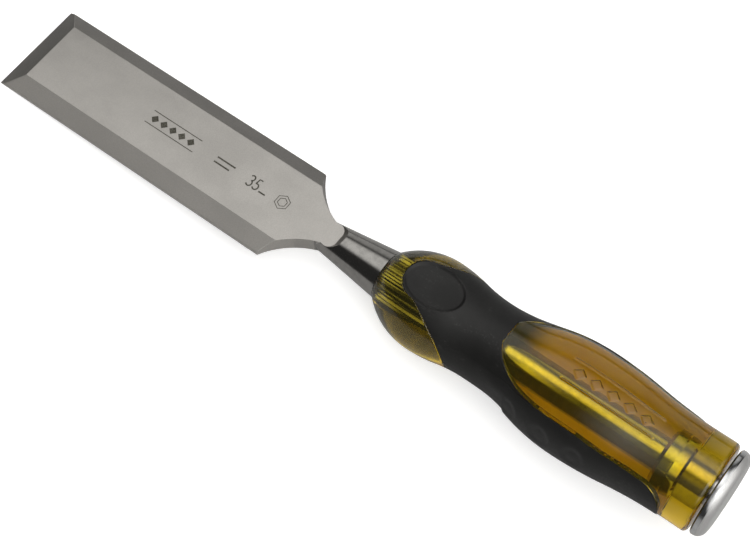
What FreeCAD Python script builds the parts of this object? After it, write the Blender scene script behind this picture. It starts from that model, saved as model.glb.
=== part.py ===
import FreeCAD, Part
import math
import os

import Sketcher
from FreeCAD import Placement, Rotation, Vector

# A 35 mm bevel-edge bench chisel with a through tang, in millimetres.
# X runs from the cutting edge to the strike cap, Y across the blade, Z away from the flat back.
# The origin is the middle of the cutting edge, on the plane of the flat back.

# Driving dimensions. Stations with _x are distances from the cutting edge, and heights are from the back.
DIMENSIONS = {
    # blade
    "blade_width": 35.0,
    "blade_thickness": 4.8,
    "bevel_angle": 30.0,
    "side_bevel_width": 5.76,
    "side_land": 1.3,
    "draft_angle": 8.0,
    "shoulder_x": 111.4,
    "shoulder_end_x": 125.56,
    "shoulder_end_half": 5.3,
    "shoulder_radius": 28.0,
    "stub_x": 128.6,
    "stub_half_width": 4.7,
    "stub_radius": 8.0,
    # neck and tang, round about the handle's axis
    "axis_height": 1.5,
    "neck_front_x": 124.0,
    "neck_front_radius": 5.0,
    "neck_rear_radius": 8.2,
    "face_end_x": 130.7,
    "back_end_x": 128.0,
    "runout_corner": 2.8,
    "runout_taper": 40.0,
    "runout_half_width": 4.4,
    "spline_length": 23.0,
    "spline_root_radius": 4.5,
    "spline_tip_radius": 5.2,
    "spline_tip_width": 0.5,
    "spline_root_width": 1.1,
    "spline_count": 20,
    "spline_overlap": 0.3,
    "spline_run_out": 1.0,
    "tang_radius": 3.7,
    "spigot_radius": 3.0,
    "spigot_length": 2.6,
    # outer form of the handle, through the radii of its swells and hollows
    "handle_x": 149.2,
    "dome_x": 166.5,
    "dome_radius": 15.4,
    "waist_x": 187.0,
    "waist_radius": 13.2,
    "belly_x": 219.5,
    "belly_radius": 17.6,
    "tail_x": 256.0,
    "tail_radius": 14.95,
    "handle_end_x": 264.3,
    "end_round": 1.4,
    # rubber grip: its wall, and its outline seen from the side, with heights from the handle's axis
    "grip_wall": 3.0,
    "grip_nose_x": 157.0,
    "grip_nose_height": 13.7,
    "grip_front_radius": 20.9,
    "grip_front_x": 181.5,
    "grip_front_drop": 6.9,
    "grip_rear_x": 255.0,
    # window of bare plastic behind the grip's crown, turned a little towards +Y about the handle's axis
    "window_turn": 6.0,
    "window_front_x": 193.5,
    "window_front_height": 12.9,
    "window_sill_x": 206.0,
    "window_sill_height": 9.5,
    "window_bend_x": 226.0,
    "window_rear_height": 6.65,
    "window_rear_corner": 8.0,
    # thumb pad: the oval block of rubber under it, and the large sphere that dishes it
    "pad_front_x": 157.1,
    "pad_rear_x": 177.6,
    "pad_half_width": 6.9,
    "pad_x": 164.8,
    "pad_height": 13.27,
    "pad_dish_radius": 83.0,
    # tail collar
    "collar_x": 247.4,
    "collar_radius": 6.6,
    "collar_flange": 4.6,
    "collar_chamfer": 1.2,
    "boss_radius": 5.5,
    "boss_taper": 3.6,
    # strike cap
    "cap_gap": 0.8,
    "cap_radius": 14.0,
    "cap_side": 1.0,
    "cap_round": 3.0,
    "cap_crown": 0.25,
    "cap_under_chamfer": 0.5,
}

doc = FreeCAD.newDocument("bench_chisel")
sheet = doc.addObject("Spreadsheet::Sheet", "Sizes")
for row, (alias, number) in enumerate(DIMENSIONS.items(), start=1):
    sheet.set(f"A{row}", alias)
    sheet.set(f"B{row}", str(number))
    sheet.setAlias(f"B{row}", alias)
doc.recompute()


class Size:
    """A length that carries both its number and the sheet formula that gives it."""

    def __init__(self, number, formula):
        self.number = number
        self.formula = formula

    @staticmethod
    def of(value):
        return value if isinstance(value, Size) else Size(float(value), str(value))

    def join(self, other, sign, number):
        return Size(number, f"({self.formula} {sign} {Size.of(other).formula})")

    def __add__(self, other):
        return self.join(other, "+", self.number + Size.of(other).number)

    def __sub__(self, other):
        return self.join(other, "-", self.number - Size.of(other).number)

    def __mul__(self, other):
        return self.join(other, "*", self.number * Size.of(other).number)

    def __truediv__(self, other):
        return self.join(other, "/", self.number / Size.of(other).number)

    def __neg__(self):
        return Size.of(0) - self


def size(alias):
    return Size(float(DIMENSIONS[alias]), f"Sizes.{alias}")


ZERO = Size.of(0)
MARGIN = 4.0          # how far a cutting outline reaches past what it cuts
LEFT, RIGHT = 1, -1   # the side of a chord, seen along it, on which an arc's centre lies


# ---- sketches ----

def new_sketch(body, name, role):
    sketch = body.newObject("Sketcher::SketchObject", name)
    plane = next(f for f in body.Origin.OriginFeatures if f.Role == role)
    sketch.AttachmentSupport = (plane, "")
    sketch.MapMode = "FlatFace"
    return sketch


def bind(sketch, constraint, length):
    """Add a constraint whose value comes from the sheet."""
    index = sketch.addConstraint(constraint)
    sketch.setExpression(f"Constraints[{index}]", length.formula)


def arc_between(start, end, radius, side):
    """The short arc between two points whose centre lies on the given side of the chord."""
    middle = (start + end) / 2
    chord = end - start
    across = Vector(-chord.y, chord.x, 0).normalize() * side
    centre = middle + across * math.sqrt(radius**2 - (chord.Length / 2) ** 2)
    first, last = (start, end) if side == LEFT else (end, start)
    angles = [math.atan2(point.y - centre.y, point.x - centre.x) for point in (first, last)]
    return Part.ArcOfCircle(Part.Circle(centre, Vector(0, 0, 1), radius), *angles)


def outline(sketch, steps):
    """Close an outline through corners. A step is (x, y), or (x, y, radius, side) before an arc."""
    points = [Vector(x.number, y.number, 0) for x, y, *_ in steps]
    ends = points[1:] + points[:1]
    edges, heads = [], []
    for (_, _, *arc), start, end in zip(steps, points, ends):
        if arc:
            radius, side = arc
            edges.append(sketch.addGeometry(arc_between(start, end, radius.number, side)))
            bind(sketch, Sketcher.Constraint("Radius", edges[-1], radius.number), radius)
            heads.append(1 if side == LEFT else 2)
        else:
            edges.append(sketch.addGeometry(Part.LineSegment(start, end)))
            heads.append(1)
    for index, (edge, head, step) in enumerate(zip(edges, heads, steps)):
        before, tail = edges[index - 1], 3 - heads[index - 1]
        sketch.addConstraint(Sketcher.Constraint("Coincident", before, tail, edge, head))
        for kind, length in zip(("DistanceX", "DistanceY"), step):
            bind(sketch, Sketcher.Constraint(kind, -1, 1, edge, head, length.number), length)


# ---- bodies ----

def new_body(name):
    """A body whose own X axis lies on the handle's axis."""
    body = doc.addObject("PartDesign::Body", name)
    body.Label = name
    body.Placement = Placement(Vector(0, 0, DIMENSIONS["axis_height"]), Rotation())
    body.setExpression("Placement.Base.z", "Sizes.axis_height")
    return body


def revolve(body, name, steps):
    """Turn a profile, drawn as (distance along the axis, radius), about the handle's axis."""
    sketch = new_sketch(body, name + "_profile", "XZ_Plane")
    outline(sketch, steps)
    turned = body.newObject("PartDesign::Revolution", name)
    turned.Profile = sketch
    turned.ReferenceAxis = (sketch, ["H_Axis"])
    turned.Angle = 360
    return turned


def lift(sketch, height):
    sketch.AttachmentOffset = Placement(Vector(0, 0, height.number), Rotation())
    sketch.setExpression("AttachmentOffset.Base.z", height.formula)


def extrude(body, name, sketch, length):
    """Raise a block of this length from a sketch, half to each side of it."""
    pad = body.newObject("PartDesign::Pad", name)
    pad.Profile = sketch
    pad.setExpression("Length", length.formula)
    pad.Midplane = True
    return pad


def cut_through(body, name, role, polygons):
    """Cut closed outlines right through the body, both ways from the origin plane."""
    sketch = new_sketch(body, name + "_outline", role)
    for polygon in polygons:
        outline(sketch, polygon)
    pocket = body.newObject("PartDesign::Pocket", name)
    pocket.Profile = sketch
    pocket.Type = "ThroughAll"
    pocket.Midplane = True
    return pocket


# ---- blade and tang ----

def blade_plate(body):
    """The flat plate with concave shoulders that narrow to a stub inside the neck."""
    half, stub = size("blade_width") / 2, size("stub_half_width")
    wide = (size("shoulder_radius"), RIGHT)
    tight = (size("stub_radius"), RIGHT)
    shoulder_x, end_x, end_y = size("shoulder_x"), size("shoulder_end_x"), size("shoulder_end_half")
    stub_x = size("stub_x")
    stub_end = stub_x + MARGIN
    sketch = new_sketch(body, "plate_outline", "XY_Plane")
    lift(sketch, -size("axis_height"))
    outline(sketch, [
        (ZERO, -half),
        (shoulder_x, -half, *wide),
        (end_x, -end_y, *tight),
        (stub_x, -stub),
        (stub_end, -stub),
        (stub_end, stub),
        (stub_x, stub, *tight),
        (end_x, end_y, *wide),
        (shoulder_x, half),
        (ZERO, half),
    ])
    pad = body.newObject("PartDesign::Pad", "plate")
    pad.Profile = sketch
    pad.setExpression("Length", "Sizes.blade_thickness")
    pad.setExpression("TaperAngle", "-Sizes.draft_angle")
    return pad


def side_bevels(body):
    top = size("blade_thickness") - size("axis_height")
    land = size("side_land") - size("axis_height")
    half = size("blade_width") / 2
    inner = half - size("side_bevel_width")
    slope = (top - land) / size("side_bevel_width")
    outer = half + MARGIN
    low = land - slope * MARGIN
    high = top + MARGIN
    near = [(inner, top), (outer, low), (outer, high), (inner, high)]
    far = [(-y, z) for y, z in near]
    return cut_through(body, "side_bevels", "YZ_Plane", [near, far])


def cutting_bevel(body):
    back = -size("axis_height")
    slope = Size(math.tan(math.radians(DIMENSIONS["bevel_angle"])), "tan(Sizes.bevel_angle * 1 deg)")
    reach = size("blade_thickness") / slope + MARGIN
    high = back + slope * reach
    low = back - slope * MARGIN
    front = Size.of(-MARGIN)
    return cut_through(body, "cutting_bevel", "XZ_Plane", [[(front, low), (reach, high), (front, high)]])


def neck_and_tang(body):
    """The cone behind the blade, the spline roots, the round tang and the spigot for the cap."""
    front, rear = size("neck_front_x"), size("handle_x")
    spline_end = rear + size("spline_length")
    tang_end = size("handle_end_x") + size("cap_gap")
    spigot_end = tang_end + size("spigot_length")
    return revolve(body, "neck_and_tang", [
        (front, ZERO),
        (front, size("neck_front_radius")),
        (rear, size("neck_rear_radius")),
        (rear, size("spline_root_radius")),
        (spline_end, size("spline_root_radius")),
        (spline_end + size("spline_run_out"), size("tang_radius")),
        (tang_end, size("tang_radius")),
        (tang_end, size("spigot_radius")),
        (spigot_end, size("spigot_radius")),
        (spigot_end, ZERO),
    ])


def splines(body):
    """Teeth along the front of the tang that lock it in the moulded plastic."""
    root = size("spline_root_radius") - size("spline_overlap")
    tip = size("spline_tip_radius")
    wide, narrow = size("spline_root_width") / 2, size("spline_tip_width") / 2
    sketch = new_sketch(body, "spline_section", "YZ_Plane")
    lift(sketch, size("handle_x"))
    outline(sketch, [(-wide, root), (wide, root), (narrow, tip), (-narrow, tip)])
    tooth = body.newObject("PartDesign::Pad", "spline_tooth")
    tooth.Profile = sketch
    tooth.setExpression("Length", "Sizes.spline_length")
    doc.recompute()
    ring = body.newObject("PartDesign::PolarPattern", "splines")
    ring.Originals = [tooth]
    ring.Axis = (next(f for f in body.Origin.OriginFeatures if f.Role == "X_Axis"), [""])
    ring.Angle = 360
    ring.setExpression("Occurrences", "Sizes.spline_count")
    body.Tip = ring
    return ring


def runout(body, name, end_x, height, upwards):
    """Where a ground face of the blade runs out into the neck: a round-cornered floor with a ramp."""
    corner, half = size("runout_corner"), size("runout_half_width")
    front = size("shoulder_x")
    sketch = new_sketch(body, name + "_outline", "XY_Plane")
    lift(sketch, height)
    outline(sketch, [
        (front, -half),
        (end_x - corner, -half, corner, LEFT),
        (end_x, corner - half),
        (end_x, half - corner, corner, LEFT),
        (end_x - corner, half),
        (front, half),
    ])
    pocket = body.newObject("PartDesign::Pocket", name)
    pocket.Profile = sketch
    pocket.Length = MARGIN * 2
    pocket.Reversed = upwards
    pocket.setExpression("TaperAngle", "Sizes.runout_taper")
    return pocket


def blade_and_tang():
    body = new_body("blade_and_tang")
    blade_plate(body)
    doc.recompute()
    side_bevels(body)
    cutting_bevel(body)
    neck_and_tang(body)
    doc.recompute()
    top = size("blade_thickness") - size("axis_height")
    runout(body, "face_runout", size("face_end_x"), top, True)
    runout(body, "back_runout", size("back_end_x"), -size("axis_height"), False)
    doc.recompute()
    splines(body)
    return body


# ---- handle ----

def s_curve(start, end):
    """Two equal arcs between a swell and a hollow, level at both: the joint and the radius."""
    (x0, r0), (x1, r1) = start, end
    run = x1 - x0
    rise = r1 - r0 if r1.number > r0.number else r0 - r1
    radius = (run * run + rise * rise) / (rise * 4)
    return ((x0 + x1) / 2, (r0 + r1) / 2), radius


def handle_profile(inset):
    """The handle's outer form, or the same form this much smaller all round."""
    front = (size("handle_x"), size("neck_rear_radius") - inset)
    dome = (size("dome_x"), size("dome_radius") - inset)
    waist = (size("waist_x"), size("waist_radius") - inset)
    belly = (size("belly_x"), size("belly_radius") - inset)
    tail = (size("tail_x"), size("tail_radius") - inset)
    end_x, corner = size("handle_end_x"), size("end_round")
    run, rise = dome[0] - front[0], dome[1] - front[1]
    dome_arc = (run * run + rise * rise) / (rise * 2)
    to_waist, waist_arc = s_curve(dome, waist)
    to_belly, belly_arc = s_curve(waist, belly)
    to_tail, tail_arc = s_curve(belly, tail)
    return [
        (front[0], ZERO),
        front + (dome_arc, RIGHT),
        dome + (waist_arc, RIGHT),
        to_waist + (waist_arc, LEFT),
        waist + (belly_arc, LEFT),
        to_belly + (belly_arc, RIGHT),
        belly + (tail_arc, RIGHT),
        to_tail + (tail_arc, LEFT),
        tail,
        (end_x - corner, tail[1], corner, RIGHT),
        (end_x, tail[1] - corner),
        (end_x, ZERO),
    ]


def grip_region():
    """The block, seen from the side, inside which the handle's skin is rubber."""
    body = new_body("grip_region")
    nose_x, nose_height = size("grip_nose_x"), size("grip_nose_height")
    front_x, drop = size("grip_front_x"), size("grip_front_drop")
    rear_x, reach = size("grip_rear_x"), size("belly_radius") + MARGIN
    sketch = new_sketch(body, "grip_side_outline", "XZ_Plane")
    outline(sketch, [
        (nose_x, reach),
        (rear_x, reach),
        (rear_x, -reach),
        (front_x, -reach),
        (front_x, -drop, size("grip_front_radius"), LEFT),
        (nose_x, nose_height),
    ])
    extrude(body, "grip_block", sketch, reach * 2)
    return body


def window_region():
    """The block, seen from the side, inside which the handle's skin is bare plastic again."""
    body = new_body("window_region")
    body.Placement.Rotation = Rotation(Vector(-1, 0, 0), DIMENSIONS["window_turn"])
    front_x, front_height = size("window_front_x"), size("window_front_height")
    sill_x, sill = size("window_sill_x"), size("window_sill_height")
    rear_x, rear_height = size("grip_rear_x"), size("window_rear_height")
    corner = size("window_rear_corner")
    reach = size("belly_radius") + MARGIN
    run, rise = sill_x - front_x, front_height - sill
    front_arc = (run * run + rise * rise) / (rise * 2)
    sketch = new_sketch(body, "window_side_outline", "XZ_Plane")
    outline(sketch, [
        (front_x, reach),
        (front_x, front_height, front_arc, LEFT),
        (sill_x, sill),
        (size("window_bend_x"), sill),
        (rear_x - corner, rear_height, corner, RIGHT),
        (rear_x, rear_height - corner),
        (rear_x + MARGIN, rear_height - corner),
        (rear_x + MARGIN, reach),
    ])
    extrude(body, "window_block", sketch, reach * 2)
    return body


def pad_block():
    """The upright oval that carries rubber of full thickness under the thumb pad."""
    body = new_body("pad_block")
    half = size("pad_half_width")
    front, rear = size("pad_front_x"), size("pad_rear_x")
    quarter = (half, LEFT)
    sketch = new_sketch(body, "pad_outline", "XY_Plane")
    outline(sketch, [
        (front + half, -half),
        (rear - half, -half, *quarter),
        (rear, ZERO, *quarter),
        (rear - half, half),
        (front + half, half, *quarter),
        (front, ZERO, *quarter),
    ])
    pad = body.newObject("PartDesign::Pad", "pad_column")
    pad.Profile = sketch
    pad.setExpression("Length", "Sizes.belly_radius")
    return body


def boolean(kind, label, base, tool):
    result = doc.addObject(kind, label)
    result.Base = base
    result.Tool = tool
    result.Label = label
    return result


def pad_dish():
    """The large sphere that dishes the thumb pad."""
    ball = doc.addObject("Part::Sphere", "pad_dish")
    ball.setExpression("Radius", "Sizes.pad_dish_radius")
    ball.setExpression("Placement.Base.x", "Sizes.pad_x")
    ball.setExpression("Placement.Base.z", "Sizes.axis_height + Sizes.pad_height + Sizes.pad_dish_radius")
    return ball


def tail_collar():
    """The stepped collar on the end of the tang, against which the cap sits."""
    body = new_body("tail_collar")
    start, flange = size("collar_x"), size("collar_flange")
    chamfer, radius = size("collar_chamfer"), size("collar_radius")
    boss, bore = size("boss_radius"), size("tang_radius")
    end = size("handle_end_x") + size("cap_gap")
    revolve(body, "collar_turning", [
        (start, bore),
        (start, radius - chamfer),
        (start + chamfer, radius),
        (start + flange, radius),
        (start + flange + size("boss_taper"), boss),
        (end, boss),
        (end, bore),
    ])
    return body


def strike_cap():
    """A domed steel button with a rounded rim and a blind socket for the tang's spigot."""
    body = new_body("strike_cap")
    start = size("handle_end_x") + size("cap_gap")
    socket_end = start + size("spigot_length")
    rim, side = size("cap_radius"), size("cap_side")
    round_, chamfer = size("cap_round"), size("cap_under_chamfer")
    face_x, face_r = start + side + round_, rim - round_
    crown = size("cap_crown")
    dome = (face_r * face_r + crown * crown) / (crown * 2)
    revolve(body, "cap_turning", [
        (start, size("spigot_radius")),
        (start, rim - chamfer),
        (start + chamfer, rim),
        (start + side, rim, round_, RIGHT),
        (face_x, face_r, dome, RIGHT),
        (face_x + crown, ZERO),
        (socket_end, ZERO),
        (socket_end, size("spigot_radius")),
    ])
    return body


# ---- assembly ----

def handle_parts(blade, collar):
    """Split the handle's form into the rubber grip and the plastic core round the tang."""
    form = new_body("handle_form")
    revolve(form, "handle_turning", handle_profile(ZERO))
    inner = new_body("handle_inner_form")
    revolve(inner, "inner_turning", handle_profile(size("grip_wall")))
    doc.recompute()
    skin = boolean("Part::Cut", "handle_skin", form, inner)
    behind = boolean("Part::Cut", "grip_without_window", grip_region(), window_region())
    region = boolean("Part::Fuse", "rubber_region", behind, pad_block())
    grip_blank = boolean("Part::Common", "grip_blank", skin, region)
    core_blank = boolean("Part::Cut", "core_blank", form, grip_blank)
    core_on_collar = boolean("Part::Cut", "core_on_collar", core_blank, collar)
    core = boolean("Part::Cut", "handle_core", core_on_collar, blade)
    grip = boolean("Part::Cut", "grip_sleeve", grip_blank, pad_dish())
    return core, grip


def check(parts):
    for item in doc.Objects:
        bad = {"Invalid", "Error"} & set(item.State)
        if bad:
            raise RuntimeError(f"{item.Label}: {bad}")
    for part in parts:
        shape = part.Shape
        if shape.isNull() or not shape.isValid() or len(shape.Solids) != 1:
            raise RuntimeError(f"{part.Label}: not one valid solid")


def main():
    blade = blade_and_tang()
    collar = tail_collar()
    cap = strike_cap()
    core, grip = handle_parts(blade, collar)
    doc.recompute()
    parts = [blade, core, grip, collar, cap]
    check(parts)
    os.makedirs("parts", exist_ok=True)
    for part in parts:
        part.Shape.exportStep(f"parts/{part.Label}.step")
        box = part.Shape.BoundBox
        print(f"{part.Label}: volume {part.Shape.Volume:.0f}, x {box.XMin:.2f} to {box.XMax:.2f}, "
              f"y {box.YMin:.2f} to {box.YMax:.2f}, z {box.ZMin:.2f} to {box.ZMax:.2f}")


main()
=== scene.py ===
import math

import bmesh
import bpy
import numpy as np
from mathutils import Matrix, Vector


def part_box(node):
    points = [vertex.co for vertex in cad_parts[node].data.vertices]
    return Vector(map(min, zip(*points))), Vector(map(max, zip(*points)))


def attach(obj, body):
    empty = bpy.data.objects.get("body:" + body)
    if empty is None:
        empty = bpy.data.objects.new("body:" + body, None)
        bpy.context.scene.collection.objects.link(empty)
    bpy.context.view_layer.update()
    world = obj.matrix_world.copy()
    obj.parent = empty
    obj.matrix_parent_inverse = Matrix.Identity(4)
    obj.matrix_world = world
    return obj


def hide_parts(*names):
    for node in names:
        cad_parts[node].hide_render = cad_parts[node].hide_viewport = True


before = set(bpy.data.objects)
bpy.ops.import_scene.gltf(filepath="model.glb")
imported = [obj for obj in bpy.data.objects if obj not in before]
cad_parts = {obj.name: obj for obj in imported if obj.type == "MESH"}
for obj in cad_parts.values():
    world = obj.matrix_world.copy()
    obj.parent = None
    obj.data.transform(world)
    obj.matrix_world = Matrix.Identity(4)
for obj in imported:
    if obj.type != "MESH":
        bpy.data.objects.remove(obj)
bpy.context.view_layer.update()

# A bench chisel with a bevel-edge blade, an amber handle, a black rubber grip and a steel strike cap.
# Lengths are in millimetres until a mesh is made. X runs from the cutting edge to the cap, Y across
# the blade and Z away from its flat back. Angles round the handle start at the top, +Z, towards +Y.
MM = 0.001


def span(node):
    """The lowest and highest corner of a CAD node, in millimetres."""
    low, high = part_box(node)
    return low / MM, high / MM


BLADE_HIGH = span("blade_and_tang")[1]
CORE_LOW, CORE_HIGH = span("handle_core")
COLLAR_LOW, COLLAR_HIGH = span("tail_collar")
CAP_LOW, CAP_HIGH = span("strike_cap")

BLADE_HALF = BLADE_HIGH.y
TANG_END = BLADE_HIGH.x
HANDLE_START = CORE_LOW.x
HANDLE_END = CORE_HIGH.x
AXIS_Z = (COLLAR_LOW.z + COLLAR_HIGH.z) / 2
COLLAR_START, COLLAR_RADIUS = COLLAR_LOW.x, COLLAR_HIGH.y
CAP_START, CAP_RADIUS = CAP_LOW.x, CAP_HIGH.y

# blade
BLADE_THICKNESS = 4.8
DRAFT = math.radians(8)
CUTTING_ANGLE = math.radians(30)
SIDE_BEVEL_WIDTH, SIDE_LAND = 5.76, 1.3
SHOULDER_X, SHOULDER_RADIUS = 111.4, 28.0
SHOULDER_END = (125.56, 5.3)
STUB, STUB_RADIUS = (128.6, 4.7), 8.0
EDGE_BREAK = 0.12

# neck and tang
NECK_FRONT = (124.0, 5.0)
NECK_REAR_RADIUS = 8.2
RUNOUT_CORNER, RUNOUT_HALF = 2.8, 4.4
RUNOUT_TAPER = math.radians(40)
FACE_END_X, BACK_END_X = 130.7, 128.0
SPLINE_END_X = HANDLE_START + 23.0
SPLINE_ROOT, SPLINE_TIP, SPLINE_COUNT = 4.5, 5.2, 20
TANG_RADIUS, SPIGOT_RADIUS = 3.7, 3.0

# handle: swells (+1) and hollows (-1) as (x, radius, sign)
DOME = (166.5, 15.4, 1)
WAIST = (187.0, 13.2, -1)
BELLY = (219.5, 17.6, 1)
TAIL = (256.0, 14.95, -1)
END_ROUND = 1.4
SKIN_MARGIN = 0.01  # how far the skin stays inside those radii

# grip: the amber reaches a little way into its wall, and the window lies below the rubber's skin
GRIP_WALL, SEAT_OVERLAP, WINDOW_SINK = 3.0, 0.2, 0.3
NOSE_X = 157.0
FRONT_ARC_X, FRONT_ARC_Z, FRONT_ARC_RADIUS = 160.56, -6.9, 20.9
FRONT_X = 181.5
GRIP_REAR_X = 255.0
WINDOW_TURN = math.radians(6)
WINDOW_FRONT, WINDOW_SILL = (193.5, 12.9), (206.0, 9.5)
WINDOW_BEND_X, WINDOW_REAR_HEIGHT, WINDOW_CORNER = 226.0, 6.65, 8.0
PAD_FRONT_X, PAD_REAR_X, PAD_HALF = 157.1, 177.6, 6.9
PAD_X, PAD_HEIGHT, PAD_DISH_RADIUS = 164.8, 13.27, 83.0
DISH_X, DISH_LENGTH, DISH_WIDTH, DISH_STEP = 167.35, 10.4, 7.0, 0.55


# ---- shapes ----

def arc(start, end, radius, side, steps):
    """Points along the short arc from start to end, without end. Side is 1 with the centre on the left."""
    (x0, y0), (x1, y1) = start, end
    length = math.hypot(x1 - x0, y1 - y0)
    reach = math.sqrt(radius**2 - (length / 2) ** 2)
    centre_x = (x0 + x1) / 2 - side * reach * (y1 - y0) / length
    centre_y = (y0 + y1) / 2 + side * reach * (x1 - x0) / length
    first = math.atan2(y0 - centre_y, x0 - centre_x)
    last = math.atan2(y1 - centre_y, x1 - centre_x)
    turn = math.remainder(last - first, math.tau)
    angles = [first + turn * step / steps for step in range(steps)]
    return [(centre_x + radius * math.cos(a), centre_y + radius * math.sin(a)) for a in angles]


def handle_radius(x):
    """The handle's radius at x: a round nose, then arcs between the swells and hollows."""
    x = np.asarray(x, float)
    run, rise = DOME[0] - HANDLE_START, DOME[1] - NECK_REAR_RADIUS
    nose = (run**2 + rise**2) / (2 * rise)
    radius = DOME[1] - nose + np.sqrt(np.maximum(nose**2 - (x - DOME[0]) ** 2, 0))
    stations = (DOME, WAIST, BELLY, TAIL)
    for before, after in zip(stations, stations[1:]):
        run, rise = after[0] - before[0], abs(after[1] - before[1])
        bend = (run**2 + rise**2) / (4 * rise)
        middle = (before[0] + after[0]) / 2
        for (at, level, sign), low, high in ((before, before[0], middle), (after, middle, after[0])):
            sag = bend - np.sqrt(np.maximum(bend**2 - (x - at) ** 2, 0))
            radius = np.where((x >= low) & (x <= high), level - sign * sag, radius)
    return np.where(x > TAIL[0], TAIL[1], radius) - SKIN_MARGIN


def smooth_step(value, low, high):
    share = np.clip((value - low) / (high - low), 0, 1)
    return share * share * (3 - 2 * share)


def smooth_least(a, b, blend):
    """The lesser of two values, with the corner between them rounded."""
    share = np.clip(0.5 + (b - a) / (2 * blend), 0, 1)
    return b + (a - b) * share - blend * share * (1 - share)


def window_sill(x):
    """Height of the window's lower edge at x, seen from the side."""
    (front_x, front_height), (sill_x, sill) = WINDOW_FRONT, WINDOW_SILL
    run, rise = sill_x - front_x, front_height - sill
    bend = (run**2 + rise**2) / (2 * rise)
    corner_x = GRIP_REAR_X - WINDOW_CORNER
    front = sill + bend - np.sqrt(np.maximum(bend**2 - np.minimum(x - sill_x, 0) ** 2, 0))
    slope = (sill - WINDOW_REAR_HEIGHT) / (corner_x - WINDOW_BEND_X)
    behind = sill - slope * np.clip(x - WINDOW_BEND_X, 0, corner_x - WINDOW_BEND_X)
    past = np.clip(x - corner_x, 0, WINDOW_CORNER)
    drop = WINDOW_CORNER - np.sqrt(WINDOW_CORNER**2 - past**2)
    return np.where(x < front_x, BELLY[1] + 1, np.where(x < sill_x, front, behind - drop))


def in_grip(x, theta):
    """True where the handle's skin is rubber."""
    radius = handle_radius(x)
    across, height = radius * np.sin(theta), radius * np.cos(theta)
    past_arc = (x - FRONT_ARC_X) ** 2 + (height - FRONT_ARC_Z) ** 2 >= FRONT_ARC_RADIUS**2
    front = np.where(height > FRONT_ARC_Z, past_arc & (x >= NOSE_X), x >= FRONT_X)
    rear = (x <= GRIP_REAR_X) & (radius * np.cos(theta - WINDOW_TURN) <= window_sill(x))
    nearest = np.clip(x, PAD_FRONT_X + PAD_HALF, PAD_REAR_X - PAD_HALF)
    pad = (height > 0) & ((x - nearest) ** 2 + across**2 <= PAD_HALF**2)
    return (front & rear) | pad


def grip_ends(thetas):
    """Where the grip starts and ends along the handle, at each angle."""
    x = np.arange(PAD_FRONT_X - 0.5, GRIP_REAR_X + 0.5, 0.02)
    inside = in_grip(x[None, :], thetas[:, None])
    front = x[inside.argmax(axis=1)]
    rear = x[len(x) - 1 - inside[:, ::-1].argmax(axis=1)]
    return front, rear


def build(name, points, faces, materials, crease=30.0):
    """A mesh object from points in millimetres, smooth but for its creases."""
    mesh = bpy.data.meshes.new(name)
    mesh.from_pydata((np.asarray(points, float) * MM).tolist(), [], faces)
    for material in materials:
        mesh.materials.append(material)
    shape = bmesh.new()
    shape.from_mesh(mesh)
    bmesh.ops.recalc_face_normals(shape, faces=shape.faces)
    shape.to_mesh(mesh)
    shape.free()
    mesh.shade_smooth()
    mesh.set_sharp_from_angle(angle=math.radians(crease))
    piece = bpy.data.objects.new(name, mesh)
    bpy.context.scene.collection.objects.link(piece)
    return piece


def skin(name, thetas, rings, materials, loop=False, crease=30.0):
    """A closed surface round the handle's axis. Each ring is (x, radius), numbers or one per angle.
    The last ring joins the first if loop is true, and otherwise both end rings are closed over."""
    count = len(thetas)
    points = []
    for x, radius in rings:
        x, radius = np.broadcast_to(x, count), np.broadcast_to(radius, count)
        points.append(np.stack([x, radius * np.sin(thetas), AXIS_Z + radius * np.cos(thetas)], axis=1))
    points = np.concatenate(points)
    faces = []
    for ring in range(len(rings) if loop else len(rings) - 1):
        here, there = ring * count, (ring + 1) % len(rings) * count
        for j in range(count):
            k = (j + 1) % count
            faces.append((here + j, there + j, there + k, here + k))
    if not loop:
        last = (len(rings) - 1) * count
        faces.append(tuple(range(count - 1, -1, -1)))
        faces.append(tuple(range(last, last + count)))
    return build(name, points, faces, materials, crease)


def full_circle(count):
    return np.arange(count) * math.tau / count


def inset(outline, distance):
    """A closed outline moved to its left by a distance, with its corners kept sharp."""
    moved = []
    for before, here, after in zip(outline[-1:] + outline[:-1], outline, outline[1:] + outline[:1]):
        into = Vector(here) - Vector(before)
        out = Vector(after) - Vector(here)
        left = [Vector((-edge.y, edge.x)).normalized() for edge in (into, out)]
        mitre = left[0] + left[1]
        moved.append(tuple(Vector(here) + mitre * (2 * distance / mitre.length_squared)))
    return moved


def prism(name, outline, top_outline, low, high, materials=()):
    count = len(outline)
    points = [(x, y, low) for x, y in outline] + [(x, y, high) for x, y in top_outline]
    faces = [tuple(range(count - 1, -1, -1)), tuple(range(count, 2 * count))]
    faces += [(j, (j + 1) % count, count + (j + 1) % count, count + j) for j in range(count)]
    return build(name, points, faces, materials, crease=8.0)


def combine(target, tool, operation):
    """Join or cut target with tool, which is used up."""
    step = target.modifiers.new("combine", "BOOLEAN")
    step.operation = operation
    step.solver = "EXACT"
    step.object = tool
    bake_modifiers(target)
    bpy.data.objects.remove(tool)


def bake_modifiers(piece):
    bpy.context.view_layer.update()
    graph = bpy.context.evaluated_depsgraph_get()
    made = bpy.data.meshes.new_from_object(piece.evaluated_get(graph))
    piece.modifiers.clear()
    piece.data = made


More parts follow.
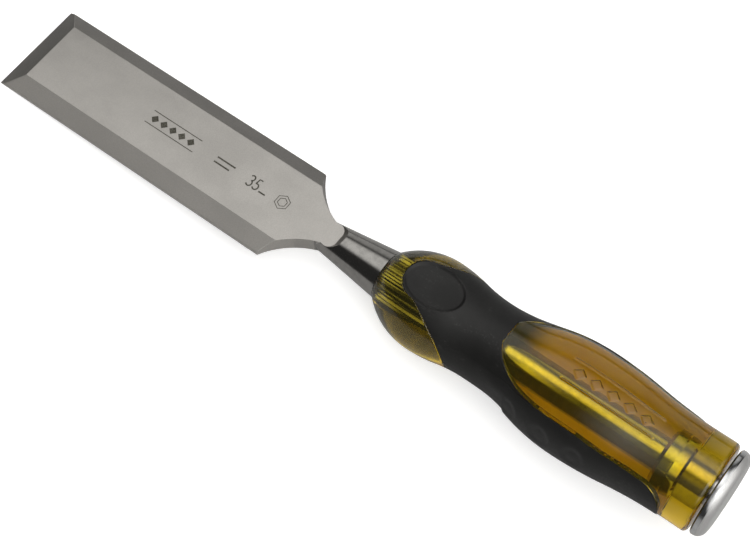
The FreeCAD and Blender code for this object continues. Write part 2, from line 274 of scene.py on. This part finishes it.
def slice_off(piece, point, normal):
    """Cut away what lies on the normal's side of a plane, and close the cut."""
    shape = bmesh.new()
    shape.from_mesh(piece.data)
    everything = shape.verts[:] + shape.edges[:] + shape.faces[:]
    cut = bmesh.ops.bisect_plane(shape, geom=everything, dist=1e-8, plane_co=Vector(point) * MM,
                                 plane_no=Vector(normal), clear_outer=True)
    edges = [item for item in cut["geom_cut"] if isinstance(item, bmesh.types.BMEdge)]
    bmesh.ops.contextual_create(shape, geom=edges)
    bmesh.ops.recalc_face_normals(shape, faces=shape.faces)
    shape.to_mesh(piece.data)
    shape.free()


# ---- materials ----

# Where a material changes: the start and end of the change, along an axis or away from a point
# the amber's painted shade over the dome fades out over this span
DOME_SHADE_FADES_X = (178.0, 192.0)
RING_X = (253.0, 256.0)
# the sleeve lining's painted glow starts over this span, and its painted shade lies along the near side
LINING_GLOW_X = (194.0, 206.0)
LINING_SIDE_SHADE_Y = (-10.5, -7.5)
TABLE_DARKENS = (100.0, 320.0)
DOME_SHADE = (45.0, 80.0)
TABLE_NEAR, TABLE_FAR = 0.48, 0.08
SHADE_NEAR, SHADE_FAR = 0.06, 0.45
PAPER_GLOW = 0.5


class Nodes:
    """A short way to write a material's node tree."""

    def __init__(self, name):
        self.material = bpy.data.materials.new(name)
        self.material.use_nodes = True
        self.tree = self.material.node_tree
        self.shader = self.tree.nodes["Principled BSDF"]
        self.output = self.tree.nodes["Material Output"]
        self.place = self.add("ShaderNodeTexCoord").outputs["Object"]

    def add(self, kind, **settings):
        node = self.tree.nodes.new(kind)
        for key, value in settings.items():
            setattr(node, key, value)
        return node

    def put(self, socket, value):
        if isinstance(value, bpy.types.NodeSocket):
            self.tree.links.new(value, socket)
        else:
            socket.default_value = value

    def set(self, **values):
        """Set the shader's sockets, named with _ for a space."""
        for key, value in values.items():
            self.put(self.shader.inputs[key.replace("_", " ")], value)

    def stretched(self, scale):
        """Places scaled by (x, y, z), in features per millimetre."""
        node = self.add("ShaderNodeMapping")
        self.put(node.inputs["Vector"], self.place)
        node.inputs["Scale"].default_value = [1 / MM * axis for axis in scale]
        return node.outputs["Vector"]

    def noise(self, scale, detail=3.0, rough=0.5, seed=0.0):
        node = self.add("ShaderNodeTexNoise", noise_dimensions="4D")
        self.put(node.inputs["Vector"], self.stretched(scale))
        node.inputs["W"].default_value = seed
        node.inputs["Scale"].default_value = 1.0
        node.inputs["Detail"].default_value = detail
        node.inputs["Roughness"].default_value = rough
        return node.outputs["Fac"]

    def between(self, value, low, high, new_low=0.0, new_high=1.0):
        node = self.add("ShaderNodeMapRange", interpolation_type="SMOOTHSTEP")
        inputs = zip(("Value", "From Min", "From Max", "To Min", "To Max"),
                     (value, low, high, new_low, new_high))
        for key, amount in inputs:
            self.put(node.inputs[key], amount)
        return node.outputs["Result"]

    def along(self, axis, reach):
        """How far places have gone through a span of the object's X, Y or Z: 0 before it and 1 after."""
        split = self.add("ShaderNodeSeparateXYZ")
        self.put(split.inputs[0], self.place)
        return self.between(split.outputs[axis], *[end * MM for end in reach])

    def away_from(self, point, reach):
        """How far places have gone through a span of distances from a point: 0 before it and 1 after."""
        node = self.add("ShaderNodeVectorMath", operation="DISTANCE")
        self.put(node.inputs[0], self.place)
        node.inputs[1].default_value = Vector(point) * MM
        return self.between(node.outputs["Value"], *[end * MM for end in reach])

    def math(self, operation, first, second):
        node = self.add("ShaderNodeMath", operation=operation)
        self.put(node.inputs[0], first)
        self.put(node.inputs[1], second)
        return node.outputs[0]

    def mix(self, share, first, second):
        node = self.add("ShaderNodeMix", data_type="RGBA")
        self.put(node.inputs["Factor"], share)
        self.put(node.inputs["A"], first)
        self.put(node.inputs["B"], second)
        return node.outputs["Result"]

    def bump(self, height, depth, strength=1.0, base=None):
        """A bump of this depth in millimetres where height is 1."""
        node = self.add("ShaderNodeBump")
        node.inputs["Strength"].default_value = strength
        node.inputs["Distance"].default_value = depth * MM
        self.put(node.inputs["Height"], height)
        if base is not None:
            self.put(node.inputs["Normal"], base)
        return node.outputs["Normal"]


def colour(red, green=None, blue=None):
    """A colour, which is grey if only red is given."""
    return (red, red if green is None else green, red if blue is None else blue, 1.0)


def satin_steel(name, dark, light, low, high, blue=0.915):
    """Ground steel with a fine grain, faint clouds and grinding lines that run across X.
    Low and high are its roughness, and blue is below 1 for a warm grey."""
    look = Nodes(name)
    clouds = look.noise((0.06, 0.09, 0.09), detail=4.0, seed=1.0)
    lines = look.noise((9.0, 0.35, 0.35), detail=2.0, seed=2.0)
    grain = look.noise((3.5, 3.5, 3.5), detail=3.0, seed=3.0)

    def tone(level):
        return colour(level, (0.6 + 0.4 * blue) * level, blue * level)

    base = look.mix(look.between(clouds, 0.35, 0.65), tone(dark), tone(light))
    lined = look.mix(look.between(lines, 0.3, 0.7, 0.0, 0.25), base, tone(0.9 * dark))
    speckled = look.mix(look.between(grain, 0.35, 0.65, 0.0, 0.35), lined, tone(0.8 * dark))
    specks = look.noise((1.3, 1.3, 1.3), detail=5.0, rough=0.7, seed=4.0)
    look.set(Base_Color=look.mix(look.between(specks, 0.66, 0.8, 0.0, 0.4), speckled, tone(0.5 * dark)),
             Metallic=1.0,
             Roughness=look.between(grain, 0.3, 0.7, low, high),
             Normal=look.bump(lines, 0.004, base=look.bump(grain, 0.003)))
    return look.material


def polished_steel(name, tint, low, high, scratch):
    """Turned and polished steel, with fine rings round the handle's axis."""
    look = Nodes(name)
    rings = look.noise((5.0, 0.12, 0.12), detail=2.0, seed=5.0)
    stains = look.noise((0.5, 0.5, 0.5), detail=4.0, rough=0.6, seed=6.0)
    stained = [0.82 * part for part in tint]
    look.set(Base_Color=look.mix(look.between(stains, 0.35, 0.7), colour(*tint), colour(*stained)),
             Metallic=1.0,
             Roughness=look.between(stains, 0.35, 0.65, low, high),
             Normal=look.bump(rings, scratch))
    return look.material


def amber_plastic():
    """Clear amber acetate: light is tinted where it enters and again by its path inside.
    The dome is darker than the window, as painted shade, and the ring behind the grip more orange."""
    look = Nodes("amber_plastic")
    swirl = look.noise((0.05, 0.12, 0.12), detail=2.0, seed=7.0)
    smear = look.noise((0.35, 0.6, 0.6), detail=4.0, rough=0.6, seed=8.0)
    wave = look.noise((0.12, 0.2, 0.2), detail=1.0, seed=9.0)
    # painted shade: the dome's base colour is darker than the window's
    painted_dome_shade, orange = colour(0.62, 0.57, 0.11), colour(0.98, 0.77, 0.04)
    clear = look.mix(look.between(swirl, 0.3, 0.7), colour(0.97, 0.83, 0.05), colour(0.98, 0.87, 0.07))
    front = look.mix(look.along("X", DOME_SHADE_FADES_X), painted_dome_shade, clear)
    look.set(Base_Color=look.mix(look.along("X", RING_X), front, orange),
             Transmission_Weight=0.98,
             Specular_IOR_Level=0.36,
             IOR=1.48,
             Roughness=look.between(smear, 0.35, 0.7, 0.01, 0.06),
             Normal=look.bump(wave, 0.006))
    volume = look.add("ShaderNodeVolumeAbsorption")
    volume.inputs["Color"].default_value = colour(0.97, 0.84, 0.14)
    volume.inputs["Density"].default_value = 50.0
    look.put(look.output.inputs["Volume"], volume.outputs["Volume"])
    return look.material


def grip_rubber():
    """Matte black rubber with a fine moulded grain and dusty marks from handling."""
    look = Nodes("grip_rubber")
    grain = look.noise((4.0, 4.0, 4.0), detail=3.0, rough=0.6, seed=10.0)
    dust = look.noise((0.10, 0.16, 0.16), detail=5.0, rough=0.6, seed=11.0)
    scuff = look.noise((1.1, 1.6, 1.6), detail=4.0, rough=0.7, seed=12.0)
    marks = look.math("MULTIPLY", look.between(dust, 0.50, 0.66), look.between(scuff, 0.52, 0.72))
    clean, dusty = colour(0.0045, 0.0044, 0.0042), colour(0.0075, 0.0074, 0.0070)
    base = look.mix(look.between(dust, 0.35, 0.7), clean, dusty)
    look.set(Base_Color=look.mix(look.math("MULTIPLY", marks, 0.5), base, colour(0.07, 0.07, 0.068)),
             Roughness=look.between(grain, 0.3, 0.7, 0.44, 0.56),
             Specular_IOR_Level=0.33,
             Normal=look.bump(grain, 0.02))
    return look.material


def sleeve_lining_painted_light():
    """The grip's inner face, bonded to the amber and seen only through it, with painted light and shade: a
    painted orange glow under the window, and painted shade under the dome and along the near side."""
    look = Nodes("sleeve_lining_painted_light")
    patch = look.noise((0.15, 0.3, 0.3), detail=3.0, seed=13.0)
    # painted shade under the dome and along the near side, and a painted orange glow under the window
    dark, near_side_shade = colour(0.05, 0.043, 0.024), colour(0.16, 0.10, 0.03)
    orange = look.mix(look.between(patch, 0.35, 0.65), colour(0.95, 0.76, 0.12), colour(0.99, 0.83, 0.14))
    window = look.mix(look.along("Y", LINING_SIDE_SHADE_Y), near_side_shade, orange)
    look.set(Base_Color=look.mix(look.along("X", LINING_GLOW_X), dark, window),
             Roughness=0.6)
    return look.material


def mark_ink():
    """Dark oxide marks on the blade."""
    look = Nodes("mark_ink")
    worn = look.noise((2.2, 2.2, 2.2), detail=3.0, seed=14.0)
    dark, faded = colour(0.035, 0.032, 0.022), colour(0.09, 0.086, 0.07)
    look.set(Base_Color=look.mix(look.between(worn, 0.35, 0.7), dark, faded),
             Metallic=0.3,
             Roughness=0.55)
    return look.material


def floor_paper():
    """White paper, which the object itself sees as a plain grey table, as if the paper were small.
    What passes through the amber meets a table with a painted shadow, darkest under the dome."""
    look = Nodes("floor_paper")
    fibre = look.noise((0.4, 0.4, 0.4), detail=3.0, seed=15.0)
    path = look.add("ShaderNodeLightPath").outputs
    paper = look.mix(fibre, colour(0.80), colour(0.83))
    from_neck = look.away_from((HANDLE_START, 0, 0), TABLE_DARKENS)
    # painted shadow on the table under the dome, seen only through the amber
    from_dome = look.away_from((DOME[0], 0, -DOME[1]), DOME_SHADE)
    table = look.mix(from_neck, colour(TABLE_NEAR), colour(TABLE_FAR))
    shaded = look.mix(from_dome, colour(SHADE_NEAR), colour(SHADE_FAR))
    unseen = look.mix(path["Is Transmission Ray"], table, shaded)
    look.set(Base_Color=look.mix(path["Is Camera Ray"], unseen, paper),
             Roughness=0.9,
             Specular_IOR_Level=0.1,
             Emission_Color=colour(1.0),
             Emission_Strength=look.math("MULTIPLY", path["Is Camera Ray"], PAPER_GLOW))
    return look.material


# ---- blade and tang ----

def mirrored(half):
    """A closed outline from its half with y above 0, which starts at the cutting edge."""
    return [(x, -y) for x, y in half] + [(x, y) for x, y in reversed(half)]


def blade_plate(material):
    half = [(0.0, BLADE_HALF)]
    half += arc((SHOULDER_X, BLADE_HALF), SHOULDER_END, SHOULDER_RADIUS, 1, 24)
    half += arc(SHOULDER_END, STUB, STUB_RADIUS, 1, 8)
    half += [STUB, (STUB[0] + 2, STUB[1])]
    outline = mirrored(half)
    top = inset(outline, BLADE_THICKNESS * math.tan(DRAFT))
    plate = prism("blade_and_tang", outline, top, 0.0, BLADE_THICKNESS, [material])
    rise, run = BLADE_THICKNESS - SIDE_LAND, SIDE_BEVEL_WIDTH
    for side in (-1, 1):
        slice_off(plate, (0, side * (BLADE_HALF - run), BLADE_THICKNESS), (0, side * rise, run))
    slice_off(plate, (0, 0, 0), (-math.sin(CUTTING_ANGLE), 0, math.cos(CUTTING_ANGLE)))
    breaks = plate.modifiers.new("edge_breaks", "BEVEL")
    breaks.width = EDGE_BREAK * MM
    breaks.segments = 2
    breaks.limit_method = "ANGLE"
    breaks.angle_limit = math.radians(15)
    bake_modifiers(plate)
    return plate


def runout_cutter(end_x, level, direction):
    """What is ground off the neck beyond a face of the blade: a round-cornered floor and a ramp."""
    corner, half = RUNOUT_CORNER, RUNOUT_HALF
    front = SHOULDER_X
    outline = [(front, -half)]
    outline += arc((end_x - corner, -half), (end_x, corner - half), corner, 1, 8)
    outline += arc((end_x, half - corner), (end_x - corner, half), corner, 1, 8)
    outline += [(end_x - corner, half), (front, half)]
    height = 5.0
    wide = inset(outline, -height * math.tan(RUNOUT_TAPER))
    return prism("runout", outline, wide, level, level + direction * height)


def neck():
    front_x, front_radius = NECK_FRONT
    cone = skin("neck", full_circle(160), [(front_x, front_radius), (HANDLE_START, NECK_REAR_RADIUS)], [])
    combine(cone, runout_cutter(FACE_END_X, BLADE_THICKNESS, 1), "DIFFERENCE")
    combine(cone, runout_cutter(BACK_END_X, 0.0, -1), "DIFFERENCE")
    return cone


def tang():
    """The splined, then round, rod inside the handle, with the spigot that holds the cap."""
    per_tooth, lead = 8, 1.0
    thetas = full_circle(SPLINE_COUNT * per_tooth)
    phase = np.abs(np.arange(len(thetas)) % per_tooth - per_tooth / 2) / (per_tooth / 2)
    teeth = SPLINE_ROOT + (SPLINE_TIP - SPLINE_ROOT) * smooth_step(phase, 0.25, 0.8)
    rings = [(HANDLE_START - lead, teeth), (SPLINE_END_X, teeth), (SPLINE_END_X + lead, TANG_RADIUS)]
    rings += [(CAP_START, TANG_RADIUS), (CAP_START, SPIGOT_RADIUS), (TANG_END, SPIGOT_RADIUS)]
    return skin("tang", thetas, rings, [], crease=35.0)


def blade_part(face):
    """Which of the blade's materials a face takes: satin, polish, near, bright or far. Near and far are
    lighter and darker copies of the ground steel, as painted light and shade.
    """
    satin, polish, near, bright, far = range(5)
    x, y, z = (part / MM for part in face.center)
    front_x, front_radius = NECK_FRONT
    slope = (NECK_REAR_RADIUS - front_radius) / (HANDLE_START - front_x)
    on_cone = abs(math.hypot(y, z - AXIS_Z) - front_radius - slope * (x - front_x)) < 0.05
    bevels_end_x, steep = SHOULDER_X + 8, 0.4
    if x > SPLINE_END_X:
        return bright
    if x > FACE_END_X or (x > front_x and on_cone):
        return polish
    if x < bevels_end_x and face.normal.y < -steep:
        return near
    if face.normal.x < -steep or (x < bevels_end_x and face.normal.y > steep):
        return far
    return satin


def blade_and_tang():
    satin = satin_steel("satin_steel", 0.405, 0.455, 0.38, 0.48)
    # painted light and shade: the near bevel takes a lighter copy of this steel, the far and cutting bevels
    # a darker one
    near = satin_steel("near_bevel_painted_light", 0.47, 0.51, 0.54, 0.62)
    far = satin_steel("far_bevel_painted_shade", 0.26, 0.29, 0.50, 0.58)
    polish = polished_steel("neck_steel", (0.30, 0.293, 0.28), 0.12, 0.18, 0.002)
    bright = polished_steel("tang_steel", (0.52, 0.50, 0.47), 0.12, 0.18, 0.001)
    blade = blade_plate(satin)
    combine(blade, neck(), "UNION")
    combine(blade, tang(), "UNION")
    blade.data.materials.clear()
    for material in (satin, polish, near, bright, far):
        blade.data.materials.append(material)
    for face in blade.data.polygons:
        face.material_index = blade_part(face)
    blade.data.shade_smooth()
    blade.data.set_sharp_from_angle(angle=math.radians(9))
    return blade


# ---- marks on the blade ----

MARK_LIFT = 0.02
MARK_COUNT = 5


def stroke(path, width):
    """A flat ribbon along a path, as (points, faces)."""
    points = []
    for index, here in enumerate(path):
        before, after = path[max(index - 1, 0)], path[min(index + 1, len(path) - 1)]
        along = (Vector(after) - Vector(before)).normalized()
        across = Vector((-along.y, along.x)) * width / 2
        points += [tuple(Vector(here) + across), tuple(Vector(here) - across)]
    faces = [(2 * j, 2 * j + 1, 2 * j + 3, 2 * j + 2) for j in range(len(path) - 1)]
    return points, faces


def ring_path(centre, radius_x, radius_y, first, last, steps=20):
    """Points along part of an ellipse, between two angles in degrees."""
    angles = np.radians(np.linspace(first, last, steps + 1))
    return [(centre[0] + radius_x * math.cos(a), centre[1] + radius_y * math.sin(a)) for a in angles]


def face_marks():
    """Generic marks where the maker's would be: lozenges, dashes, the width in mm and a hexagon."""
    strokes = []
    first_x, pitch, reach = 55.0, 3.8, 1.5
    for step in range(MARK_COUNT):
        x = first_x + pitch * step
        corners = [(x - reach, 0), (x, reach), (x + reach, 0), (x, -reach)]
        strokes.append((corners, [(0, 1, 2, 3)]))
    dash_x, bold, plain, fine = 80.8, 0.55, 0.48, 0.26
    for level, length in ((0.95, 7.4), (-0.95, 6.2)):
        strokes.append(stroke([(dash_x, level), (dash_x + length, level)], bold))
    three = ring_path((95.0, 1.35), 0.85, 0.95, 150, -80) + ring_path((95.0, -0.6), 0.95, 1.05, 80, -150)
    strokes.append(stroke(three, plain))
    five = [(98.5, 2.3), (97.3, 2.3), (97.05, 0.35)] + ring_path((97.55, -0.55), 0.95, 1.1, 110, -150)
    strokes.append(stroke(five, plain))
    strokes.append(stroke([(99.4, -1.35), (102.0, -1.35)], bold))
    for level in (-2.5, 2.5):
        strokes.append(stroke([(52.6, level), (73.0, level)], 0.3))
    for radius in (1.6, 2.6):
        strokes.append(stroke(ring_path((108.1, 0), radius, radius, 30, 390, steps=6), fine))
    points, faces = [], []
    for ribbon, quads in strokes:
        first = len(points)
        points += [(x, y, BLADE_THICKNESS + MARK_LIFT) for x, y in ribbon]
        faces += [tuple(first + corner for corner in quad) for quad in quads]
    return build("face_marks", points, faces, [mark_ink()])


# ---- handle ----

def handle_thetas():
    """Angles round the handle, closer together over the pad, the raised mark and the window's edges."""
    sectors = ((-75, -60, 1.5), (-60, -42, 0.6), (-42, -36, 1.5), (-36, 36, 0.8),
               (36, 54, 1.5), (54, 69, 0.6), (69, 285, 2.25))
    return np.radians(np.concatenate([np.arange(*sector) for sector in sectors]))


def wrapped(thetas):
    """The same angles in degrees, from -180 to 180."""
    return np.degrees(np.remainder(thetas + math.pi, math.tau) - math.pi)


def mark_relief(x, thetas):
    """Height of the raised lozenges and lines on the window."""
    across = np.radians(wrapped(thetas)) * BELLY[1]
    height = np.zeros(np.broadcast_shapes(np.shape(x), np.shape(thetas)))
    middle_x, middle_y, pitch, half_length, half_line = 229.0, 0.3, 5.6, 15.5, 0.35
    for step in range(MARK_COUNT):
        centre = middle_x + pitch * (step - MARK_COUNT // 2)
        size = np.abs(x - centre) / 2.0 + np.abs(across - middle_y) / 1.7
        height = np.maximum(height, smooth_step(1.15 - size, 0, 0.18))
    inside = smooth_step(half_length - np.abs(x - middle_x), 0, 0.5)
    for level in (middle_y - 3.9, middle_y + 3.9):
        height = np.maximum(height, inside * smooth_step(half_line - np.abs(across - level), 0, 0.2))
    return WINDOW_SINK * height


# The amber's roll down beside the rubber: (distance from the rubber's edge, depth below the skin)
SEAM = ((0.08, 0.06), (-0.02, 0.22), (-0.1, 0.45))
SEAM_START, SEAM_END = 0.3, 0.1


def handle_core(thetas, front, rear, material):
    """The amber body, cut back under the grip so that the rubber meets it with no gap."""
    rings = []
    for share in np.linspace(0, 1, 50):
        x = HANDLE_START + (front - SEAM_START - HANDLE_START) * share
        rings.append((x, handle_radius(x)))
    rings += [(front - away, handle_radius(front) - depth) for away, depth in SEAM]
    for share in np.linspace(0, 1, 40):
        x = front + SEAM_END + (rear - front - 2 * SEAM_END) * share
        rings.append((x, handle_radius(x) - GRIP_WALL + SEAT_OVERLAP))
    rings += [(rear + away, handle_radius(rear) - depth) for away, depth in reversed(SEAM)]

    # most of the rings behind the grip lie where the raised mark is
    end = HANDLE_END - END_ROUND
    mark_x = (212.0, 246.0)
    mark_shares = [(x - rear.min()) / (end - rear.min()) for x in mark_x]
    for share in np.interp(np.linspace(0, 1, 190), [0, 0.12, 0.88, 1], [0, *mark_shares, 1]):
        x = rear + SEAM_START + (end - rear - SEAM_START) * share
        rings.append((x, handle_radius(x) - WINDOW_SINK + mark_relief(x, thetas)))
    for turn in np.radians(np.linspace(9, 90, 10)):
        x = end + END_ROUND * math.sin(turn)
        rings.append((x, TAIL[1] - WINDOW_SINK - END_ROUND * (1 - math.cos(turn))))
    return skin("handle_core", thetas, rings, [material], crease=50.0)


def pad_radius(x, thetas):
    """How far from the axis the thumb pad's large sphere lies, or past reach where it isn't."""
    centre = PAD_HEIGHT + PAD_DISH_RADIUS
    toward, out_of_reach = centre * np.cos(thetas), 99.0
    under = toward**2 - (centre**2 + (x - PAD_X) ** 2 - PAD_DISH_RADIUS**2)
    reached = (under > 0) & (toward > 0)
    return np.where(reached, toward - np.sqrt(np.maximum(under, 0)), out_of_reach)


def dish_relief(x, thetas):
    """The thumb dish: an oval step down that fills the front of the pad."""
    across = PAD_HEIGHT * np.tan(np.clip(np.radians(wrapped(thetas)), -1, 1))
    size = np.hypot((x - DISH_X) / DISH_LENGTH, across / DISH_WIDTH)
    return -DISH_STEP * smooth_step(1 - size, 0, 0.11)


def grip_relief(x, thetas):
    """How much the grip is cut back: underneath in front of a step, and in three finger dips a side."""
    away = np.abs(wrapped(thetas))
    under = smooth_step(away, 62, 82)
    step_x, step_depth = 202.6, 0.5
    step = step_depth * smooth_step(step_x - x, 0, 1.4) * smooth_step(x, WAIST[0], 200)
    dip_length, dip_angle, dip_turn, dip_depth = 4.2, 80, 17, 0.45
    dips = np.zeros_like(x)
    for centre in (204.0, 216.0, 227.5):
        size = np.hypot((x - centre) / dip_length, (away - dip_angle) / dip_turn)
        dips = np.maximum(dips, dip_depth * smooth_step(1 - size, 0, 0.55))
    return np.maximum(step * under, dips)


def grip_sleeve(thetas, front, rear, rubber, lining):
    """The rubber sleeve, with a rounded lip. The lining, coloured with painted glow and shade, covers its
    inner face and its rear end wall.
    """
    edge_rings = ((0.0, 0.5), (0.05, 0.25))
    lip, lip_start = 0.35, 0.15
    rings = [(front + into, handle_radius(front) - depth) for into, depth in edge_rings]
    for share in np.linspace(0, 1, 230):
        x = front + lip_start + (rear - front - 2 * lip_start) * share
        outer = smooth_least(handle_radius(x), pad_radius(x, thetas), 0.12) - grip_relief(x, thetas)
        outer = outer + dish_relief(x, thetas)
        edge = np.minimum(x - front, rear - x)
        fall = np.clip(1 - edge / lip, 0, 1)
        rings.append((x, outer - lip * (1 - np.sqrt(1 - fall**2))))
    rings += [(rear - into, handle_radius(rear) - depth) for into, depth in reversed(edge_rings)]
    inside = len(rings)
    for share in np.linspace(1, 0, 30):
        x = front + (rear - front) * share
        rings.append((x, handle_radius(x) - GRIP_WALL))
    sleeve = skin("grip_sleeve", thetas, rings, [rubber, lining], loop=True, crease=50.0)
    count = len(thetas)
    for index, face in enumerate(sleeve.data.polygons):
        ring, column = divmod(index, count)
        end_wall = ring == inside - 1 and rear[column] > GRIP_REAR_X - 0.5
        face.material_index = 1 if end_wall or inside <= ring < len(rings) - 1 else 0
    return sleeve


def tail_collar(material):
    """A grooved flange that steps down to a long boss."""
    x, radius = COLLAR_START, COLLAR_RADIUS
    chamfer, groove, slope, boss = 1.2, 0.6, 0.8, 5.5
    flange_x = x + 4.6
    step_x = flange_x + 3.6
    profile = [(x, TANG_RADIUS), (x, radius - chamfer), (x + chamfer, radius), (flange_x - groove, radius)]
    profile += [(flange_x - groove, radius - groove), (flange_x, radius - groove), (flange_x, radius - 0.05)]
    profile += [(step_x - slope, radius - 0.3), (step_x, boss)]
    profile += [(COLLAR_HIGH.x, boss), (COLLAR_HIGH.x, TANG_RADIUS)]
    return skin("tail_collar", full_circle(128), profile, [material], loop=True)


def strike_cap(polished, satin):
    """The steel button: polished round its side, satin on its rim and slightly crowned face."""
    chamfer, side, corner, crown, polished_end = 0.5, 1.0, 3.0, 0.25, 1.9
    rim = CAP_RADIUS
    profile = [(CAP_START, SPIGOT_RADIUS), (CAP_START, rim - chamfer), (CAP_START + chamfer, rim)]
    for turn in np.radians(np.linspace(0, 84, 15)):
        profile.append((CAP_START + side + corner * math.sin(turn), rim - corner * (1 - math.cos(turn))))
    face_x, face_radius = CAP_START + side + corner, rim - corner
    for share in np.linspace(0, 0.97, 14):
        radius = face_radius * (1 - share)
        profile.append((face_x + crown * (1 - (radius / face_radius) ** 2), radius))
    cap = skin("strike_cap", full_circle(160), profile, [polished, satin], crease=25.0)
    for face in cap.data.polygons:
        face.material_index = 1 if face.center.x / MM > CAP_START + polished_end else 0
    return cap


# ---- camera, light and floor ----

CAMERA_PLACE = (290.12, -155.83, 408.59)
CAMERA_TURN = (27.2270, 2.9812, 37.3975)
CAMERA_LENS = 72.0


def set_camera():
    data = bpy.data.cameras.new("camera")
    data.lens = CAMERA_LENS
    data.sensor_width = 36.0
    data.clip_start = 0.01
    camera = bpy.data.objects.new("camera", data)
    camera.location = Vector(CAMERA_PLACE) * MM
    camera.rotation_euler = [math.radians(turn) for turn in CAMERA_TURN]
    bpy.context.scene.collection.objects.link(camera)
    bpy.context.scene.camera = camera


def lay_floor():
    """A pale sheet that touches the cutting edge and the belly of the handle."""
    x = np.linspace(HANDLE_START, HANDLE_END, 400)
    slope = np.max((handle_radius(x) - AXIS_Z) / x)
    half, gap = 1500.0, 0.05
    corners = [(sx * half, sy * half, -slope * sx * half - gap) for sx, sy in
               ((-1, -1), (1, -1), (1, 1), (-1, 1))]
    floor = build("floor", corners, [(0, 1, 2, 3)], [floor_paper()])


# Soft lights on the studio's dome: direction, angles in degrees from it to the edge of full light and
# to the outer edge, and strength
LIGHTS = (
    ((-0.38, 0.15, 0.91), 17, 35, 1.26),
    ((0.65, 0.10, 0.75), 20, 56, 1.68),
    ((0.50, -0.55, 0.67), 16, 39, 1.35),
    ((-0.35, 0.93, 0.14), 14, 36, 0.6),
)
DOME_LEVEL = 0.055
LIGHT_COLOUR = (1.0, 0.99, 0.97, 1.0)


def light_studio():
    """A dome of soft light: a low even level with a few broad, soft-edged lights in it."""
    world = bpy.data.worlds.new("studio")
    bpy.context.scene.world = world
    world.use_nodes = True
    tree = world.node_tree
    direction = tree.nodes.new("ShaderNodeTexCoord").outputs["Generated"]
    total = None
    for place, full, outer, strength in LIGHTS:
        dot = tree.nodes.new("ShaderNodeVectorMath")
        dot.operation = "DOT_PRODUCT"
        tree.links.new(direction, dot.inputs[0])
        dot.inputs[1].default_value = Vector(place).normalized()
        edge = tree.nodes.new("ShaderNodeMapRange")
        edge.interpolation_type = "SMOOTHSTEP"
        tree.links.new(dot.outputs["Value"], edge.inputs["Value"])
        edge.inputs["From Min"].default_value = math.cos(math.radians(outer))
        edge.inputs["From Max"].default_value = math.cos(math.radians(full))
        edge.inputs["To Max"].default_value = strength
        sum_node = tree.nodes.new("ShaderNodeMath")
        tree.links.new(edge.outputs["Result"], sum_node.inputs[0])
        if total is None:
            sum_node.inputs[1].default_value = DOME_LEVEL
        else:
            tree.links.new(total, sum_node.inputs[1])
        total = sum_node.outputs[0]
    background = tree.nodes["Background"]
    background.inputs["Color"].default_value = LIGHT_COLOUR
    tree.links.new(total, background.inputs["Strength"])


def use(piece, node):
    """Put a piece on the fixed body, in place of a CAD node if one is given."""
    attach(piece, "root")
    if node:
        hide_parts(node)


def main():
    set_camera()
    light_studio()
    lay_floor()
    scene = bpy.context.scene
    scene.view_settings.view_transform = "Standard"
    scene.cycles.max_bounces = 16
    scene.cycles.transmission_bounces = 12

    use(blade_and_tang(), "blade_and_tang")
    use(face_marks(), None)
    thetas = handle_thetas()
    front, rear = grip_ends(thetas)
    use(handle_core(thetas, front, rear, amber_plastic()), "handle_core")
    use(grip_sleeve(thetas, front, rear, grip_rubber(), sleeve_lining_painted_light()), "grip_sleeve")
    use(tail_collar(polished_steel("collar_steel", (0.50, 0.48, 0.45), 0.12, 0.16, 0.0002)),
        "tail_collar")
    use(strike_cap(polished_steel("cap_steel", (0.55, 0.555, 0.56), 0.10, 0.16, 0.001),
                   satin_steel("cap_satin", 0.64, 0.70, 0.50, 0.62, 0.99)),
        "strike_cap")


main()
